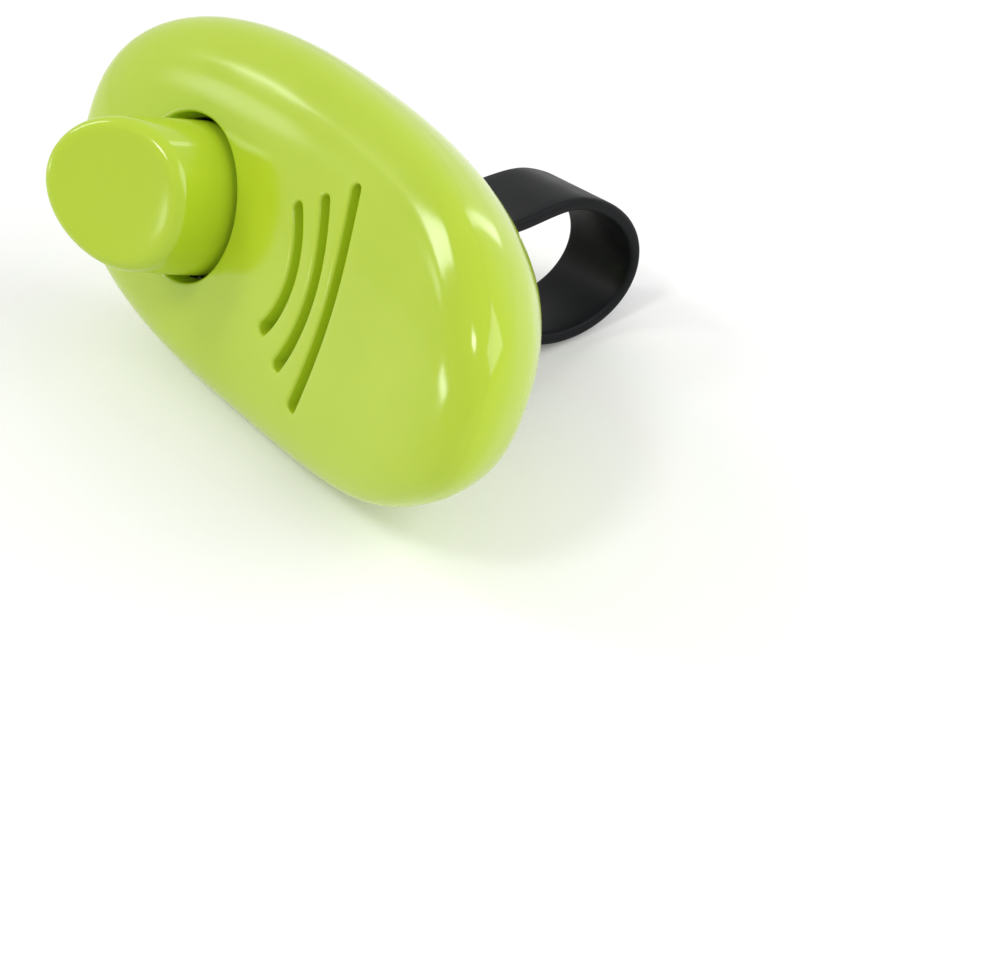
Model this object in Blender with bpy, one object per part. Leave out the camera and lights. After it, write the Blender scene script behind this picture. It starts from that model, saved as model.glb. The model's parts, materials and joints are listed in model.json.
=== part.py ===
import math

import bmesh
import bpy
from mathutils import Vector

MM = 0.001

# Clearances
GAP = 0.3 * MM  # between pieces that touch or are fastened together
SLIDE_GAP = 0.6 * MM  # round the button in its bore
ROOT_PLAY = 0.4 * MM  # above and below the leaf's root, which turns in its clamp
STRAP_PLAY = 0.3 * MM  # beside the strap in its slots
LEAF_CLEAR = 0.5 * MM  # from the pressed button's skirt to the leaf's root

# Housing: x from the button end to the tail, y across, z out of the front
LENGTH = 60.0 * MM
WIDTH = 30.2 * MM
OUTLINE_POWER = 2.44
OUTLINE_TAPER = 0.07  # share of the width lost from mid-length to the tail
FRONT_RISE = 5.2 * MM  # front face above the parting line at mid-length
FRONT_FALL = 0.05  # fall of that height along the length
FRONT_POWER = 2.6
BACK_RISE = 10.5 * MM  # back below the parting line at mid-length, before the dish is sunk
BACK_GROWTH = 0.22  # growth of that depth along the length
BACK_POWER = 1.87
SEAM_SLOPE = 0.115  # the parting line climbs towards the tail
SEAM_BEND_RADIUS = 100.0 * MM  # and bends forward at both ends
WALL = 1.5 * MM

# Finger dish in the back
DISH_START = -23.5 * MM  # rim at the button end
DISH_END = 22.5 * MM  # where the dish runs out at the tail
DISH_HALF_WIDTH = 9.8 * MM
DISH_POWER = 3.0
DISH_SIDE_POWER = 4.0  # how steeply the sides rise from the floor
FLOOR_DEPTH = 4.4 * MM  # flat floor at the tongue
FLOOR_BEND_START = -3.5 * MM  # from here the floor curves forward to the button end
FLOOR_BEND_RADIUS = 66.0 * MM
RIM_CREST = 2.7 * MM  # thickness of the rim along z

# Strap, and the tongue that it hooks under
STRAP_WIDTH = 9.4 * MM  # in the slots
STRAP_LOOP_WIDTH = 7.6 * MM  # round the loop, narrowed on the button side
STRAP_THICKNESS = 1.2 * MM
STRAP_CENTRE = 2.4 * MM
TONGUE_HALF_WIDTH = 5.8 * MM
TONGUE_LIP = 0.3 * MM  # tongue past the strap's tail edge
SLOT_CLEAR = 0.3 * MM  # outside the strap's arms
GROOVE_WIDTH = 1.5 * MM
WAIST_HALF_WIDTH = 4.6 * MM  # to the middle of the band, as for the loop
WAIST_DROP = 9.5 * MM  # from the floor to the waist
LOOP_HALF_WIDTH = 6.1 * MM
LOOP_DROP = 17.6 * MM  # from the floor to the widest part
LOOP_REACH = 9.0 * MM  # from the widest part to the far end
LOOP_LEAN = 1.35 * MM  # sideways shift of the loop, up when the part lies on its side

# Button
BUTTON_X = -11.4 * MM
BUTTON_RADIUS = 6.4 * MM
BUTTON_TIP_RADIUS = 6.2 * MM
BUTTON_HEIGHT = 7.35 * MM  # middle of the tip above the front face
BUTTON_TIP_SLOPE = 0.43
BUTTON_TIP_CROWN = 0.8 * MM  # fall of the tip from its middle line to its sides
BUTTON_TIP_DISH = 0.5 * MM
BUTTON_EDGE = 0.8 * MM
BUTTON_WALL = 1.4 * MM
BUTTON_SHOULDER = 0.6 * MM  # straight side outside the bore
BUTTON_TRAVEL = 1.2 * MM
COLLAR_HEIGHT = 1.9 * MM  # depth of the bore at the button's axis
COLLAR_WALL = 1.6 * MM
EAR_REACH = 1.2 * MM  # ears that keep the button in, past its side
EAR_WIDTH = 5.0 * MM
EAR_THICKNESS = 1.0 * MM
EAR_LAP = 0.5 * MM  # ear height that lies on the button's skirt
STEM_RADIUS = 1.6 * MM

# Sound slots: middle along the front, half length across, bow of the arc
SOUND_SLOTS = (
    (4.7 * MM, 5.1 * MM, 1.8 * MM),
    (7.8 * MM, 6.9 * MM, 2.0 * MM),
    (10.5 * MM, 9.0 * MM, 1.7 * MM),
)
SOUND_SLOT_WIDTH = 1.1 * MM

# Click leaf, across the housing under the button, with its clamp and screws
LEAF_THICKNESS = 0.35 * MM
LEAF_WIDTH = 6.0 * MM  # of the free part
LEAF_ROOT_WIDTH = 8.4 * MM
LEAF_ROOT = 3.6 * MM  # length held under the clamp
LEAF_NECK = 1.2 * MM  # length over which the root narrows
LEAF_SIDE_ROOM = 5.6 * MM  # from the housing's side to the middle of the root
LEAF_TAIL = 2.2 * MM  # free length past the button's axis
DIMPLE_RADIUS = 2.0 * MM
DIMPLE_HEIGHT = 0.5 * MM
CLAMP_THICKNESS = 0.4 * MM
SCREW_PITCH = 5.0 * MM
SCREW_RADIUS = 0.55 * MM
SCREW_LENGTH = 4.0 * MM
SCREW_HEAD_RADIUS = 1.1 * MM
SCREW_HEAD_HEIGHT = 0.5 * MM
SCREW_SLOT_WIDTH = 0.4 * MM
SCREW_SLOT_DEPTH = 0.25 * MM
POST_WALL = 1.2 * MM

# Pegs and sockets that hold the two shells together
PEG_PLACES = ((-19.5 * MM, 7.0 * MM), (13.5 * MM, 9.5 * MM))
PEG_RADIUS = 1.1 * MM
PEG_REACH = 1.8 * MM
SOCKET_WALL = 0.8 * MM

# Mesh fineness
AROUND = 72
FRONT_RINGS = 11
FLANK_RINGS = 7
DISH_RINGS = 8
ROUND_SIDES = 48
SMALL_SIDES = 20

LIME = (0.50, 0.66, 0.07)
BLACK = (0.012, 0.013, 0.015)
STEEL = (0.60, 0.60, 0.58)


def material(name, colour, roughness, metallic=0.0):
    finish = bpy.data.materials.new(name)
    finish.use_nodes = True
    shader = finish.node_tree.nodes["Principled BSDF"]
    shader.inputs["Base Color"].default_value = (*colour, 1.0)
    shader.inputs["Roughness"].default_value = roughness
    shader.inputs["Metallic"].default_value = metallic
    finish.diffuse_color = (*colour, 1.0)
    return finish


def place(name, bm, parent, finish=None, origin=(0.0, 0.0, 0.0)):
    bmesh.ops.recalc_face_normals(bm, faces=bm.faces)
    mesh = bpy.data.meshes.new(name)
    bm.to_mesh(mesh)
    bm.free()
    mesh.shade_smooth()
    mesh.set_sharp_from_angle(angle=math.radians(35))
    piece = bpy.data.objects.new(name, mesh)
    piece.parent = parent
    piece.location = origin
    bpy.context.collection.objects.link(piece)
    if finish:
        mesh.materials.append(finish)
    return piece


def helper(name, bm, parent):
    tool = place(name, bm, parent)
    tool.hide_render = True
    tool.display_type = "WIRE"
    return tool


def boolean(piece, tool, operation):
    step = piece.modifiers.new(tool.name, "BOOLEAN")
    step.operation = operation
    step.solver = "EXACT"
    step.object = tool


# Skin over a row of rings; a ring of one point is a pole
def loft(bm, rings, closed=False):
    rows = [[bm.verts.new(point) for point in ring] for ring in rings]
    pairs = list(zip(rows, rows[1:]))
    if closed:
        pairs.append((rows[-1], rows[0]))
    for near, far in pairs:
        count = max(len(near), len(far))
        for i in range(count):
            j = (i + 1) % count
            corners = near[i % len(near)], near[j % len(near)], far[j % len(far)], far[i % len(far)]
            bm.faces.new(list(dict.fromkeys(corners)))
    return rows


def prism(bm, outline, low, high):
    rows = loft(bm, [[(x, y, z) for x, y in outline] for z in (low, high)])
    for row in rows:
        bm.faces.new(row)


def circle(x, y, radius, sides):
    spread = [2 * math.pi * i / sides for i in range(sides)]
    return [(x + radius * math.cos(turn), y + radius * math.sin(turn)) for turn in spread]


def box_outline(x_low, x_high, y_low, y_high):
    return [(x_low, y_low), (x_high, y_low), (x_high, y_high), (x_low, y_high)]


# Housing surfaces; depth 0 is the outside of the wall and 1 the inside
def oval(turn, half_x, half_y, power):
    x = math.copysign(abs(math.cos(turn)) ** (2 / power), math.cos(turn))
    y = math.copysign(abs(math.sin(turn)) ** (2 / power), math.sin(turn))
    return half_x * x, half_y * y


def taper(x):
    return 1 - OUTLINE_TAPER * x / (LENGTH / 2)


def outline_point(turn, inset, share=1.0):
    x, y = oval(turn, share * (LENGTH / 2 - inset), share * (WIDTH / 2 - inset), OUTLINE_POWER)
    return x, y * taper(x)


def outline_share(x, y, inset):
    along = abs(x) / (LENGTH / 2 - inset)
    across = abs(y) / (WIDTH / 2 - inset) / taper(x)
    return (along**OUTLINE_POWER + across**OUTLINE_POWER) ** (1 / OUTLINE_POWER)


def dome(share, power):
    return max(0.0, 1 - share**power) ** (1 / power)


def seam_level(x):
    return SEAM_SLOPE * x + x**2 / (2 * SEAM_BEND_RADIUS)


def front_level(x, y, depth=0.0):
    rise = FRONT_RISE - FRONT_FALL * x - depth * WALL
    return seam_level(x) + rise * dome(outline_share(x, y, depth * WALL), FRONT_POWER)


def back_level(x, y):
    fall = BACK_RISE + BACK_GROWTH * x
    return seam_level(x) - fall * dome(outline_share(x, y, 0.0), BACK_POWER)


def floor_level(x):
    bend = max(0.0, FLOOR_BEND_START - x)
    return bend**2 / (2 * FLOOR_BEND_RADIUS) - FLOOR_DEPTH


def turns():
    return [2 * math.pi * (i + 0.5) / AROUND for i in range(AROUND)]


def front_rings(depth):
    rings = []
    for k in range(FRONT_RINGS):
        share = math.cos(math.pi / 2 * k / FRONT_RINGS) ** (2 / FRONT_POWER)
        ring = []
        for turn in turns():
            x, y = outline_point(turn, depth * WALL, share)
            lowest = seam_level(x) + GAP / 2
            ring.append((x, y, max(lowest, front_level(x, y, depth)) if k else lowest))
        rings.append(ring)
    rings.append([(0.0, 0.0, front_level(0.0, 0.0, depth))])
    return rings


def rim_point(turn):
    x, y = oval(turn, (DISH_END - DISH_START) / 2, DISH_HALF_WIDTH, DISH_POWER)
    return DISH_MIDDLE + x, y


def back_rings(depth):
    rings = []
    for k in range(FLANK_RINGS):
        share = 1 - math.cos(math.pi / 2 * k / FLANK_RINGS)
        ring = []
        for turn in turns():
            rim_x, rim_y = rim_point(turn)
            outer_x, outer_y = outline_point(turn, 0.0)
            edge_x, edge_y = outline_point(turn, depth * WALL)
            x = edge_x + share * (rim_x - edge_x)
            y = edge_y + share * (rim_y - edge_y)
            outer_x += share * (rim_x - outer_x)
            outer_y += share * (rim_y - outer_y)
            drop = seam_level(outer_x) - back_level(outer_x, outer_y)
            rim_drop = seam_level(rim_x) - back_level(rim_x, rim_y)
            drop *= 1 - depth * RIM_CREST / rim_drop
            ring.append((x, y, seam_level(x) - (max(drop, GAP / 2) if k else GAP / 2)))
        rings.append(ring)
    for k in range(DISH_RINGS):
        share = 1 - k / DISH_RINGS
        side = share**DISH_SIDE_POWER
        ring = []
        for turn in turns():
            rim_x, rim_y = rim_point(turn)
            x = DISH_MIDDLE + share * (rim_x - DISH_MIDDLE)
            rim_level = back_level(rim_x, rim_y) + depth * RIM_CREST
            level = side * rim_level + (1 - side) * (floor_level(x) + depth * WALL)
            ring.append((x, share * rim_y, level))
        rings.append(ring)
    rings.append([(DISH_MIDDLE, 0.0, floor_level(DISH_MIDDLE) + depth * WALL)])
    return rings


# Solid whose skin runs in the middle of a shell's wall: what grows from the wall is trimmed to it
def wall_core(name, rings, reach, root):
    bm = bmesh.new()
    edge = [(x, y, reach) for x, y, z in rings[0]]
    loft(bm, rings[::-1] + [edge, [(0.0, 0.0, reach)]])
    return helper(name, bm, root)


DISH_MIDDLE = (DISH_START + DISH_END) / 2
FACE = front_level(BUTTON_X, 0.0)
COLLAR_BOTTOM = FACE - COLLAR_HEIGHT
EAR_TOP = COLLAR_BOTTOM - GAP
EAR_BOTTOM = EAR_TOP - EAR_THICKNESS
SKIRT_BOTTOM = EAR_TOP - EAR_LAP
LEAF_TOP = SKIRT_BOTTOM - BUTTON_TRAVEL - LEAF_CLEAR
LEAF_MIDDLE = LEAF_TOP - LEAF_THICKNESS / 2
LEAF_LEVER = WIDTH / 2 - LEAF_SIDE_ROOM  # from the middle of the root to the button's axis
STEM_BOTTOM = LEAF_TOP + DIMPLE_HEIGHT + GAP
POST_TOP = LEAF_TOP - LEAF_THICKNESS - ROOT_PLAY
CLAMP_BOTTOM = LEAF_TOP + ROOT_PLAY
CLAMP_TOP = CLAMP_BOTTOM + CLAMP_THICKNESS
SCREW_SEAT = CLAMP_TOP + GAP
BORE_RADIUS = BUTTON_RADIUS + SLIDE_GAP
SCREW_HOLE_RADIUS = SCREW_RADIUS + GAP
LEAF_HOLE_RADIUS = SCREW_HOLE_RADIUS + GAP
TONGUE_INSIDE = WALL - FLOOR_DEPTH
ARM_HALF_WIDTH = TONGUE_HALF_WIDTH + GAP + STRAP_THICKNESS / 2
SLOT_HALF_WIDTH = ARM_HALF_WIDTH + STRAP_THICKNESS / 2 + SLOT_CLEAR
SLOT_START = STRAP_CENTRE - STRAP_WIDTH / 2 - STRAP_PLAY
TONGUE_END = STRAP_CENTRE + STRAP_WIDTH / 2 + TONGUE_LIP
PAST = LENGTH / 2  # far enough to pass through any wall
CUT_OVER = 1.0 * MM  # how far a cut runs past the face that it opens


def screw_places():
    return [(BUTTON_X + side * SCREW_PITCH / 2, -LEAF_LEVER) for side in (-1, 1)]


def peg_places():
    return [(x, side * y) for x, y in PEG_PLACES for side in (-1, 1)]


# Slot along an arc with round ends, bowed towards the tail
def arc_slot(middle, half_length, bow):
    radius = (half_length**2 + bow**2) / (2 * bow)
    centre = middle - radius
    end = math.asin(half_length / radius)
    half_width = SOUND_SLOT_WIDTH / 2
    steps = 16
    sweep = [end * (2 * i / steps - 1) for i in range(steps + 1)]

    def side(reach, angles):
        return [(centre + reach * math.cos(a), reach * math.sin(a)) for a in angles]

    def cap(place_angle, start):
        x, y = side(radius, [place_angle])[0]
        swing = [start + math.pi * i / 5 for i in range(1, 5)]
        return [(x + half_width * math.cos(a), y + half_width * math.sin(a)) for a in swing]

    outer = side(radius + half_width, sweep)
    inner = side(radius - half_width, sweep[::-1])
    return outer + cap(end, end) + inner + cap(-end, math.pi - end)


def front_shell(root, finish):
    bm = bmesh.new()
    loft(bm, front_rings(0.0)[::-1] + front_rings(1.0))
    shell = place("front_shell", bm, root, finish)
    bm = bmesh.new()
    prism(bm, circle(BUTTON_X, 0.0, BORE_RADIUS + COLLAR_WALL, ROUND_SIDES), COLLAR_BOTTOM, PAST)
    for x, y in peg_places():
        prism(bm, circle(x, y, PEG_RADIUS, SMALL_SIDES), seam_level(x) - PEG_REACH, PAST)
    posts = helper("front_posts", bm, root)
    boolean(posts, wall_core("front_core", front_rings(0.5), -PAST, root), "INTERSECT")
    boolean(shell, posts, "UNION")
    bm = bmesh.new()
    prism(bm, circle(BUTTON_X, 0.0, BORE_RADIUS, ROUND_SIDES), COLLAR_BOTTOM - CUT_OVER, PAST)
    for slot in SOUND_SLOTS:
        prism(bm, arc_slot(*slot), COLLAR_BOTTOM - CUT_OVER, PAST)
    boolean(shell, helper("front_cuts", bm, root), "DIFFERENCE")
    return shell


def back_shell(root, finish):
    bm = bmesh.new()
    loft(bm, back_rings(0.0)[::-1] + back_rings(1.0))
    shell = place("back_shell", bm, root, finish)
    bm = bmesh.new()
    for x, y in peg_places():
        socket = PEG_RADIUS + GAP + SOCKET_WALL
        prism(bm, circle(x, y, socket, SMALL_SIDES), -PAST, seam_level(x) - 2 * GAP)
    for x, y in screw_places():
        prism(bm, circle(x, y, SCREW_HOLE_RADIUS + POST_WALL, SMALL_SIDES), -PAST, POST_TOP)
    posts = helper("back_posts", bm, root)
    boolean(posts, wall_core("back_core", back_rings(0.5), PAST, root), "INTERSECT")
    boolean(shell, posts, "UNION")
    bm = bmesh.new()
    for x, y in peg_places():
        hole = circle(x, y, PEG_RADIUS + GAP, SMALL_SIDES)
        prism(bm, hole, seam_level(x) - PEG_REACH - GAP, seam_level(x) + CUT_OVER)
    for x, y in screw_places():
        hole = circle(x, y, SCREW_HOLE_RADIUS, SMALL_SIDES)
        prism(bm, hole, SCREW_SEAT - SCREW_LENGTH - GAP, POST_TOP + CUT_OVER)
    groove_end = TONGUE_END + GROOVE_WIDTH
    gap_round_tongue = [
        (SLOT_START, SLOT_HALF_WIDTH),
        (SLOT_START, TONGUE_HALF_WIDTH),
        (TONGUE_END, TONGUE_HALF_WIDTH),
        (TONGUE_END, -TONGUE_HALF_WIDTH),
        (SLOT_START, -TONGUE_HALF_WIDTH),
        (SLOT_START, -SLOT_HALF_WIDTH),
        (groove_end, -SLOT_HALF_WIDTH),
        (groove_end, SLOT_HALF_WIDTH),
    ]
    prism(bm, gap_round_tongue, -PAST, TONGUE_INSIDE + CUT_OVER)
    boolean(shell, helper("back_cuts", bm, root), "DIFFERENCE")
    return shell


# Height of the button's slanted tip at a point from its axis
def tip_level(x, y):
    middle = FACE + BUTTON_HEIGHT
    return middle - BUTTON_TIP_SLOPE * x - BUTTON_TIP_CROWN * (y / BUTTON_RADIUS) ** 2


def push_button(root, finish):
    def ring(radius, level):
        spots = circle(0.0, 0.0, radius, ROUND_SIDES)
        return [(x, y, level(x, y) if callable(level) else level) for x, y in spots]

    def roof(x, y):
        return tip_level(x, y) - BUTTON_TIP_DISH - BUTTON_WALL

    rings = [
        [(0.0, 0.0, STEM_BOTTOM)],
        ring(STEM_RADIUS, STEM_BOTTOM),
        ring(STEM_RADIUS, roof),
        ring(BUTTON_TIP_RADIUS - BUTTON_WALL, roof),
        ring(BUTTON_RADIUS - BUTTON_WALL, SKIRT_BOTTOM),
        ring(BUTTON_RADIUS, SKIRT_BOTTOM),
        ring(BUTTON_RADIUS, FACE + BUTTON_SHOULDER),
    ]
    for step in range(4):
        bend = math.pi / 2 * step / 3
        inward = BUTTON_EDGE * (1 - math.cos(bend))
        drop = BUTTON_EDGE * (1 - math.sin(bend))
        rings.append(ring(BUTTON_TIP_RADIUS - inward, lambda x, y, drop=drop: tip_level(x, y) - drop))
    flat = BUTTON_TIP_RADIUS - BUTTON_EDGE
    for share in (0.8, 0.55, 0.3):
        sink = BUTTON_TIP_DISH * (1 - share**2) ** 2
        rings.append(ring(share * flat, lambda x, y, sink=sink: tip_level(x, y) - sink))
    rings.append([(0.0, 0.0, tip_level(0.0, 0.0) - BUTTON_TIP_DISH)])
    bm = bmesh.new()
    loft(bm, rings)
    button = place("push_button", bm, root, finish, (BUTTON_X, 0.0, 0.0))
    bm = bmesh.new()
    inside = BUTTON_RADIUS - BUTTON_WALL / 2
    for low, high in ((-BUTTON_RADIUS - EAR_REACH, -inside), (inside, BUTTON_RADIUS + EAR_REACH)):
        prism(bm, box_outline(low, high, -EAR_WIDTH / 2, EAR_WIDTH / 2), EAR_BOTTOM, EAR_TOP)
    ears = helper("button_ears", bm, root)
    ears.location.x = BUTTON_X
    boolean(button, ears, "UNION")
    return button


def click_leaf(root, finish):
    along = 24
    across = 12
    rings = []
    for i in range(along + 1):
        y = -LEAF_ROOT / 2 + (LEAF_ROOT / 2 + LEAF_LEVER + LEAF_TAIL) * i / along
        narrowed = min(1.0, max(0.0, (y - LEAF_ROOT / 2) / LEAF_NECK))
        width = LEAF_ROOT_WIDTH + (LEAF_WIDTH - LEAF_ROOT_WIDTH) * narrowed
        upper = []
        for j in range(across + 1):
            x = width * (j / across - 0.5)
            reach = (x**2 + (y - LEAF_LEVER) ** 2) / DIMPLE_RADIUS**2
            upper.append((x, y, DIMPLE_HEIGHT * max(0.0, 1 - reach) ** 2 + LEAF_THICKNESS / 2))
        rings.append(upper + [(x, y, z - LEAF_THICKNESS) for x, y, z in reversed(upper)])
    bm = bmesh.new()
    rows = loft(bm, rings)
    bm.faces.new(rows[0])
    bm.faces.new(rows[-1])
    leaf = place("click_leaf", bm, root, finish, (BUTTON_X, -LEAF_LEVER, LEAF_MIDDLE))
    bm = bmesh.new()
    for x, y in screw_places():
        prism(bm, circle(x, y, LEAF_HOLE_RADIUS, SMALL_SIDES), POST_TOP, CLAMP_BOTTOM)
    boolean(leaf, helper("leaf_holes", bm, root), "DIFFERENCE")
    return leaf


def leaf_clamp(root, finish):
    bm = bmesh.new()
    half_length = LEAF_ROOT_WIDTH / 2
    plate = box_outline(-half_length, half_length, -LEAF_ROOT / 2, LEAF_ROOT / 2)
    prism(bm, plate, 0.0, CLAMP_THICKNESS)
    clamp = place("leaf_clamp", bm, root, finish, (BUTTON_X, -LEAF_LEVER, CLAMP_BOTTOM))
    bm = bmesh.new()
    for x, y in screw_places():
        prism(bm, circle(x, y, SCREW_HOLE_RADIUS, SMALL_SIDES), POST_TOP, SCREW_SEAT)
    boolean(clamp, helper("clamp_holes", bm, root), "DIFFERENCE")
    return clamp


# Screw with its seat at z = 0 and its shank pointing down
def leaf_screw(name, x, y, root, finish):
    def ring(radius, level):
        return [(px, py, level) for px, py in circle(0.0, 0.0, radius, SMALL_SIDES)]

    rings = [
        [(0.0, 0.0, -SCREW_LENGTH)],
        ring(SCREW_RADIUS, SCREW_RADIUS - SCREW_LENGTH),
        ring(SCREW_RADIUS, 0.0),
        ring(SCREW_HEAD_RADIUS, 0.0),
        ring(SCREW_HEAD_RADIUS, SCREW_HEAD_HEIGHT / 2),
        ring(SCREW_HEAD_RADIUS * 0.7, SCREW_HEAD_HEIGHT),
        [(0.0, 0.0, SCREW_HEAD_HEIGHT)],
    ]
    bm = bmesh.new()
    loft(bm, rings)
    screw = place(name, bm, root, finish, (x, y, SCREW_SEAT))
    bm = bmesh.new()
    reach = SCREW_HEAD_RADIUS + CUT_OVER
    slot = box_outline(-reach, reach, -SCREW_SLOT_WIDTH / 2, SCREW_SLOT_WIDTH / 2)
    prism(bm, slot, SCREW_HEAD_HEIGHT - SCREW_SLOT_DEPTH, SCREW_HEAD_HEIGHT + CUT_OVER)
    cut = helper(name + "_slot", bm, root)
    cut.location = screw.location
    boolean(screw, cut, "DIFFERENCE")
    return screw


def ease(start, end, share):
    share = min(1.0, max(0.0, share))
    return start + (end - start) * share**2 * (3 - 2 * share)


# Middle line of the band: under the tongue, out of the slots, in to the waist and round the loop
def strap_path():
    bend = GAP + STRAP_THICKNESS / 2
    waist = -FLOOR_DEPTH - WAIST_DROP
    widest = -FLOOR_DEPTH - LOOP_DROP
    half = [(TONGUE_HALF_WIDTH * i / 4, TONGUE_INSIDE + bend) for i in range(4)]
    for i in range(7):
        turn = math.pi / 2 * (1 - i / 6)
        half.append((TONGUE_HALF_WIDTH + bend * math.cos(turn), TONGUE_INSIDE + bend * math.sin(turn)))
    for low, high, start, end in (
        (-FLOOR_DEPTH, waist, ARM_HALF_WIDTH, WAIST_HALF_WIDTH),
        (waist, widest, WAIST_HALF_WIDTH, LOOP_HALF_WIDTH),
    ):
        half += [(ease(start, end, i / 12), low + (high - low) * i / 12) for i in range(12)]
    for i in range(13):
        turn = math.pi / 2 * i / 12
        half.append((LOOP_HALF_WIDTH * math.cos(turn), widest - LOOP_REACH * math.sin(turn)))
    both = half + [(-y, z) for y, z in half[-2:0:-1]]
    return [(y + ease(0.0, LOOP_LEAN, -(z + FLOOR_DEPTH) / LOOP_DROP), z) for y, z in both]


def finger_strap(root, finish):
    path = [Vector((0.0, y, z)) for y, z in strap_path()]
    tail_side = Vector((STRAP_CENTRE + STRAP_WIDTH / 2, 0.0, 0.0))
    rings = []
    for i, point in enumerate(path):
        ahead = (path[(i + 1) % len(path)] - path[i - 1]).normalized()
        out = Vector((0.0, ahead.z, -ahead.y)) * STRAP_THICKNESS / 2
        width = ease(STRAP_WIDTH, STRAP_LOOP_WIDTH, -(point.z + FLOOR_DEPTH) / LOOP_DROP)
        button_side = tail_side - Vector((width, 0.0, 0.0))
        inner = point - out
        outer = point + out
        rings.append([inner + button_side, inner + tail_side, outer + tail_side, outer + button_side])
    bm = bmesh.new()
    loft(bm, rings, closed=True)
    return place("finger_strap", bm, root, finish)


# Lean at which the side of the housing and the side of the strap touch the table together
def rest_lean(housing, strap):
    def lowest(points, lean):
        return min(y * math.cos(lean) + z * math.sin(lean) for x, y, z in points)

    low, high = 0.0, math.radians(60)
    for _ in range(40):
        lean = (low + high) / 2
        if lowest(strap, lean) > lowest(housing, lean):
            low = lean
        else:
            high = lean
    return lean


# Sets the object down on its side, its origin under the middle of its box
def settle(root, pieces, lean):
    root.rotation_euler.x = math.pi / 2 - lean
    bpy.context.view_layer.update()
    graph = bpy.context.evaluated_depsgraph_get()
    corners = []
    for piece in pieces:
        shown = piece.evaluated_get(graph)
        mesh = shown.to_mesh()
        corners += [shown.matrix_world @ vertex.co for vertex in mesh.vertices]
        shown.to_mesh_clear()
    low = Vector([min(point[axis] for point in corners) for axis in range(3)])
    high = Vector([max(point[axis] for point in corners) for axis in range(3)])
    root.location = (-(low.x + high.x) / 2, -(low.y + high.y) / 2, -low.z)


def main():
    for old in list(bpy.data.objects):
        bpy.data.objects.remove(old)
    root = bpy.data.objects.new("clicker", None)
    bpy.context.collection.objects.link(root)
    pieces = [
        front_shell(root, material("front_plastic", LIME, 0.22)),
        back_shell(root, material("back_plastic", LIME, 0.22)),
        push_button(root, material("button_plastic", LIME, 0.25)),
        click_leaf(root, material("spring_steel", STEEL, 0.3, 1.0)),
        leaf_clamp(root, material("clamp_steel", STEEL, 0.4, 1.0)),
    ]
    for number, (x, y) in enumerate(screw_places(), start=1):
        name = f"leaf_screw_{number}"
        pieces.append(leaf_screw(name, x, y, root, material(name + "_steel", STEEL, 0.35, 1.0)))
    strap = finger_strap(root, material("strap_rubber", BLACK, 0.55))
    pieces.append(strap)
    housing = [point for ring in front_rings(0.0) + back_rings(0.0) for point in ring]
    lean = rest_lean(housing, [tuple(vertex.co) for vertex in strap.data.vertices])
    settle(root, pieces, lean)


main()
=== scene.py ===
import json
import math

import bmesh
import bpy
import numpy as np
from mathutils import Matrix, Vector
from mathutils.geometry import delaunay_2d_cdt


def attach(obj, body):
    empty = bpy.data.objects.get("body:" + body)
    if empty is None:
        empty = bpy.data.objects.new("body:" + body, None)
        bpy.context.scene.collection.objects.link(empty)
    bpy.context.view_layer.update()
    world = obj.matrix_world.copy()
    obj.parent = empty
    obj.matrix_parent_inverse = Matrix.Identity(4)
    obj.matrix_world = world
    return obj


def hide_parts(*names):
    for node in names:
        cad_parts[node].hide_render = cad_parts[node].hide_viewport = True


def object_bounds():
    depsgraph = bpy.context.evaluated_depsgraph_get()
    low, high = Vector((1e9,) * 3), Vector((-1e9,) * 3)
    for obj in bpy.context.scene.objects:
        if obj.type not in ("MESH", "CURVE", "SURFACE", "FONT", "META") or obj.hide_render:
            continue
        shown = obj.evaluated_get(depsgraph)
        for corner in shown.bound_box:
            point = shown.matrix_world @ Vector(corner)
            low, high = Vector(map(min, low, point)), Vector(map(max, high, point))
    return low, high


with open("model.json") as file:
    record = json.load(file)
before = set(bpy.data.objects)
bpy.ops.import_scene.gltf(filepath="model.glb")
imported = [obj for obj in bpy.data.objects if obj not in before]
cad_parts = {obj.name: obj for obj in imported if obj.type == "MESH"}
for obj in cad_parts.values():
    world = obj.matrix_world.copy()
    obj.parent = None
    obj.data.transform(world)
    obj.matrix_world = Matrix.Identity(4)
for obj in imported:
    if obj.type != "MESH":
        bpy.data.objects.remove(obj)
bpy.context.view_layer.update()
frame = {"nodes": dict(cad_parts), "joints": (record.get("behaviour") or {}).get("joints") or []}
print("frame loaded")

mm = 0.001

# everything below is in millimetres, in the housing's own axes:
# x from the button end to the tail, y across, z out of the front
housing = {
    "length": 60.0,
    "width": 30.2,
    "outlinePower": 2.44,
    "outlineTaper": 0.07,
    "frontRise": 5.2,
    "frontFall": 0.05,
    "frontPower": 2.6,
    "backRise": 10.5,
    "backGrowth": 0.22,
    "backPower": 1.87,
    "seamSlope": 0.115,
    "seamBendRadius": 100.0,
    "seamHalfGap": 0.001,  # the parting line is closed to the eye
    "wall": 1.5,
    "around": 320,
    "crowding": 0.6,  # draws the points towards the flat ends and sides
}
dish = {
    "start": -23.5,
    "end": 22.5,
    "halfWidth": 9.8,
    "power": 3.0,
    "sidePower": 4.0,
    "floorDepth": 4.4,
    "bendStart": -3.5,
    "bendRadius": 66.0,
    "rimCrest": 2.7,
}
dishMiddle = (dish["start"] + dish["end"]) / 2
dishHalfLength = (dish["end"] - dish["start"]) / 2
evenTurns = 2 * math.pi * (np.arange(housing["around"]) + 0.5) / housing["around"]
aroundTurns = evenTurns - housing["crowding"] / 4 * np.sin(4 * evenTurns)


def ease(start, end, share):
    share = np.clip(share, 0.0, 1.0)
    return start + (end - start) * share**2 * (3 - 2 * share)


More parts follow.
